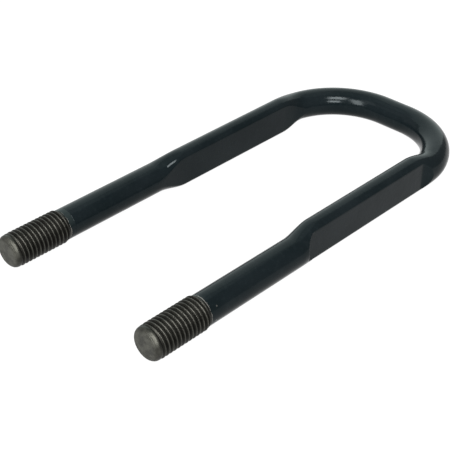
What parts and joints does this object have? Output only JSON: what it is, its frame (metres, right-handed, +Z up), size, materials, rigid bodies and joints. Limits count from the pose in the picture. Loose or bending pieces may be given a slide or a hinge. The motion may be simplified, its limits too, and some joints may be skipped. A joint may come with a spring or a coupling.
{
  "type": "u-bolt",
  "caption": "Leaf spring U-bolt: painted steel bar bent to a U, with legs pressed flat and bare threaded ends.",
  "frame": {"origin": "on the resting surface under the middle of the outline, with the bolt lying flat", "axes": "+X across the legs, +Y along the legs from the threaded tips towards the bow, +Z up, square to the plane of the U"},
  "size_m": [0.1254, 0.2715, 0.023],
  "materials": {
    "paint": "gloss",
    "bare_steel": "dull, lightly oiled"
  },
  "bodies": {
    "root": {"crown": "paint", "right_bend": "paint", "left_bend": "paint", "right_flat": "paint", "left_flat": "paint", "right_shank": "paint", "left_shank": "paint", "right_thread": "bare_steel", "left_thread": "bare_steel", "right_tip": "bare_steel", "left_tip": "bare_steel"}
  },
  "joints": []
}
